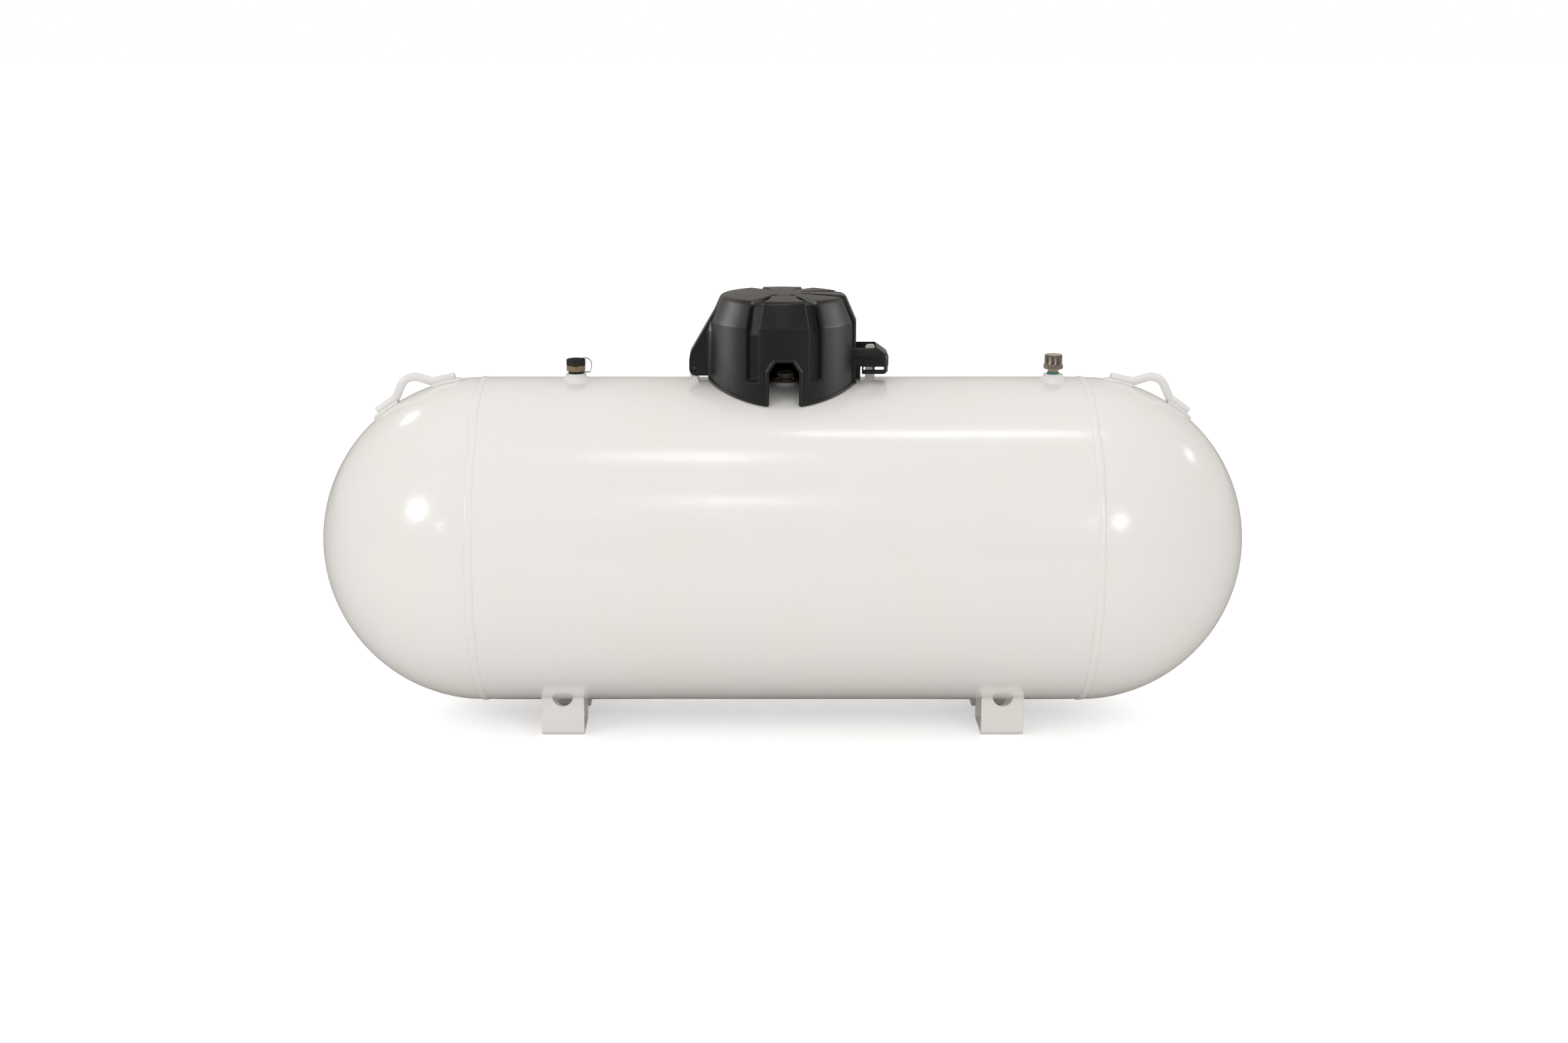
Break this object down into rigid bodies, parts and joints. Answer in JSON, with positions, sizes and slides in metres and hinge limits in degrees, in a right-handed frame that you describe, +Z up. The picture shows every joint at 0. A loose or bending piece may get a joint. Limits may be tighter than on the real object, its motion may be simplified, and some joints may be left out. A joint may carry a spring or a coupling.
{
  "type": "propane tank",
  "caption": "Horizontal propane tank with domed ends, feet, lifting lugs, relief and liquid valves, and a hinged dome over the fill valve, service valve and float gauge.",
  "frame": {"origin": "on the ground plane at the middle of the footprint, under the centre of the tank", "axes": "+X along the tank's axis, towards the relief valve end; -Y is the front; +Z is up"},
  "size_m": [2.2678, 0.805, 1.066],
  "materials": {
    "shell": "gloss off-white paint",
    "head_left": "gloss off-white paint",
    "head_right": "gloss off-white paint",
    "girth_welds": "gloss off-white paint",
    "backing_rings": "bare mill steel",
    "long_weld": "gloss off-white paint",
    "feet": "warm white paint with fine grit",
    "lugs": "thick gloss off-white paint",
    "attachment_welds": "thick gloss off-white paint",
    "coupling_liquid": "thick gloss off-white paint",
    "coupling_relief": "thick gloss off-white paint",
    "coupling_fill": "thick gloss off-white paint",
    "coupling_service": "thick gloss off-white paint",
    "coupling_gauge": "thick gloss off-white paint",
    "fitting_welds": "thick gloss off-white paint",
    "liquid_body": "dull machined brass",
    "liquid_poppet": "machined brass",
    "liquid_spring": "spring wire",
    "liquid_tube": "bare mill steel",
    "liquid_cap": "matte",
    "liquid_gasket": "matte",
    "liquid_ring": "matte",
    "liquid_strap": "matte",
    "relief_body": "dull machined brass",
    "relief_sealant": "dried thread sealant",
    "relief_poppet": "machined brass",
    "relief_spring": "spring wire",
    "relief_cap": "dull machined brass",
    "fill_body": "dull machined brass",
    "fill_poppet": "machined brass",
    "fill_spring": "spring wire",
    "fill_guide": "machined brass",
    "fill_check": "machined brass",
    "fill_gasket": "matte",
    "fill_cap": "satin",
    "service_body": "dull machined brass",
    "service_bonnet": "dull machined brass",
    "service_seat": "machined brass",
    "service_stem": "machined brass",
    "service_handwheel": "die cast",
    "handwheel_screw": "zinc plated",
    "outlet_ring": "matte",
    "outlet_plug": "satin",
    "dip_tube": "bare mill steel",
    "bleed_screw": "dull machined brass",
    "gauge_gasket": "matte",
    "gauge_head": "die cast",
    "gauge_screws": "zinc plated",
    "gauge_dial": "satin",
    "gauge_needle": "satin",
    "gauge_lens": "clear",
    "gauge_tube": "die cast",
    "gauge_shaft": "die cast",
    "float_arm": "bare mill steel",
    "float_bulb": "closed cell",
    "dome": "grained satin moulding",
    "hinge_bracket": "thick gloss off-white paint",
    "hinge_pin": "zinc plated",
    "hasp": "thick gloss off-white paint",
    "data_plate": "zinc plated"
  },
  "bodies": {
    "tank": {"shell": "shell", "head_left": "head_left", "head_right": "head_right", "girth_welds": "girth_welds", "backing_rings": "backing_rings", "long_weld": "long_weld", "feet": "feet", "lugs": "lugs", "attachment_welds": "attachment_welds", "coupling_liquid": "coupling_liquid", "coupling_relief": "coupling_relief", "coupling_fill": "coupling_fill", "coupling_service": "coupling_service", "coupling_gauge": "coupling_gauge", "fitting_welds": "fitting_welds", "liquid_body": "liquid_body", "liquid_spring": "liquid_spring", "liquid_tube": "liquid_tube", "liquid_ring": "liquid_ring", "relief_body": "relief_body", "relief_sealant": "relief_sealant", "relief_spring": "relief_spring", "fill_body": "fill_body", "fill_spring": "fill_spring", "fill_guide": "fill_guide", "service_body": "service_body", "service_bonnet": "service_bonnet", "dip_tube": "dip_tube", "gauge_gasket": "gauge_gasket", "gauge_head": "gauge_head", "gauge_screws": "gauge_screws", "gauge_dial": "gauge_dial", "gauge_lens": "gauge_lens", "gauge_tube": "gauge_tube", "hinge_bracket": "hinge_bracket", "hinge_pin": "hinge_pin", "hasp": "hasp", "data_plate": "data_plate"},
    "dome_hood": {"dome": "dome"},
    "liquid_gasket_strap": {"liquid_gasket": "liquid_gasket", "liquid_strap": "liquid_strap"},
    "liquid_cap_body": {"liquid_cap": "liquid_cap"},
    "liquid_poppet_body": {"liquid_poppet": "liquid_poppet"},
    "relief_poppet_body": {"relief_poppet": "relief_poppet"},
    "relief_cap_body": {"relief_cap": "relief_cap"},
    "fill_gasket_body": {"fill_gasket": "fill_gasket"},
    "fill_cap_body": {"fill_cap": "fill_cap"},
    "fill_poppet_body": {"fill_poppet": "fill_poppet"},
    "fill_check_body": {"fill_check": "fill_check"},
    "service_wheel": {"service_stem": "service_stem", "service_handwheel": "service_handwheel", "handwheel_screw": "handwheel_screw"},
    "service_seat_body": {"service_seat": "service_seat"},
    "outlet_ring_body": {"outlet_ring": "outlet_ring"},
    "outlet_plug_body": {"outlet_plug": "outlet_plug"},
    "bleed_screw_body": {"bleed_screw": "bleed_screw"},
    "gauge_shaft_body": {"gauge_shaft": "gauge_shaft"},
    "gauge_needle_body": {"gauge_needle": "gauge_needle"},
    "float_body": {"float_arm": "float_arm", "float_bulb": "float_bulb"}
  },
  "joints": [
    {"name": "dome_hinge", "type": "hinge", "parent": "tank", "child": "dome_hood", "pos_m": [-0.216, 0, 0.8868], "axis": [0, -1, 0], "range_deg": [0, 100]},
    {"name": "liquid_cap_rise", "type": "slide", "parent": "tank", "child": "liquid_gasket_strap", "axis": [0, 0, 1], "range_m": [0, 0.0085]},
    {"name": "liquid_cap_turn", "type": "hinge", "parent": "liquid_gasket_strap", "child": "liquid_cap_body", "pos_m": [-0.505, 0, 0.894], "axis": [0, 0, 1], "range_deg": [0, 720]},
    {"name": "liquid_poppet_lift", "type": "slide", "parent": "tank", "child": "liquid_poppet_body", "axis": [0, 0, -1], "range_m": [0, 0.003], "stiffness_N_per_m": 800, "springref_m": -0.002, "deforming": ["liquid_spring"]},
    {"name": "relief_lift", "type": "slide", "parent": "tank", "child": "relief_poppet_body", "axis": [0, 0, 1], "range_m": [0, 0.006], "stiffness_N_per_m": 9000, "springref_m": -0.004, "deforming": ["relief_spring"]},
    {"name": "relief_cap_lift", "type": "slide", "parent": "tank", "child": "relief_cap_body", "axis": [0, 0, 1], "range_m": [0, 0.03]},
    {"name": "fill_cap_rise", "type": "slide", "parent": "tank", "child": "fill_gasket_body", "axis": [0, 0, 1], "range_m": [0, 0.0127]},
    {"name": "fill_cap_turn", "type": "hinge", "parent": "fill_gasket_body", "child": "fill_cap_body", "pos_m": [-0.095, 0, 0.914], "axis": [0, 0, 1], "range_deg": [0, 1080]},
    {"name": "fill_poppet_drop", "type": "slide", "parent": "tank", "child": "fill_poppet_body", "axis": [0, 0, -1], "range_m": [0, 0.006], "stiffness_N_per_m": 900, "springref_m": -0.003, "deforming": ["fill_spring"]},
    {"name": "fill_check_drop", "type": "slide", "parent": "tank", "child": "fill_check_body", "axis": [0, 0, -1], "range_m": [0, 0.006]},
    {"name": "service_wheel_turn", "type": "hinge", "parent": "tank", "child": "service_wheel", "pos_m": [0.095, 0, 0.932], "axis": [0, 0, 1], "range_deg": [0, 1080]},
    {"name": "service_seat_rise", "type": "slide", "parent": "tank", "child": "service_seat_body", "axis": [0, 0, 1], "range_m": [0, 0.00636]},
    {"name": "outlet_plug_out", "type": "slide", "parent": "tank", "child": "outlet_ring_body", "axis": [0, -1, 0], "range_m": [0, 0.0109]},
    {"name": "outlet_plug_turn", "type": "hinge", "parent": "outlet_ring_body", "child": "outlet_plug_body", "pos_m": [0.095, -0.046, 0.89], "axis": [0, 1, 0], "range_deg": [0, 2160]},
    {"name": "bleed_turn", "type": "hinge", "parent": "tank", "child": "bleed_screw_body", "pos_m": [0.131, 0, 0.876], "axis": [1, 0, 0], "range_deg": [0, 360]},
    {"name": "float_swing", "type": "hinge", "parent": "tank", "child": "float_body", "pos_m": [0.006, -0.017, 0.454], "axis": [0, 1, 0], "range_deg": [-55, 55]},
    {"name": "gauge_shaft_turn", "type": "hinge", "parent": "tank", "child": "gauge_shaft_body", "pos_m": [0.006, -0.045, 0.5], "axis": [0, 0, 1], "range_deg": [-120, 120]},
    {"name": "gauge_needle_turn", "type": "hinge", "parent": "tank", "child": "gauge_needle_body", "pos_m": [0.006, -0.045, 0.8705], "axis": [0, 0, 1], "range_deg": [-120, 120]}
  ],
  "couplings": [
    {"joint": "liquid_cap_rise", "follows": "liquid_cap_turn", "m_per_rad": 0.00067375},
    {"joint": "fill_cap_rise", "follows": "fill_cap_turn", "m_per_rad": 0.00067375},
    {"joint": "service_seat_rise", "follows": "service_wheel_turn", "m_per_rad": 0.00033688},
    {"joint": "outlet_plug_out", "follows": "outlet_plug_turn", "m_per_rad": 0.00028876},
    {"joint": "gauge_shaft_turn", "follows": "float_swing", "ratio": -2},
    {"joint": "gauge_needle_turn", "follows": "float_swing", "ratio": -2}
  ]
}
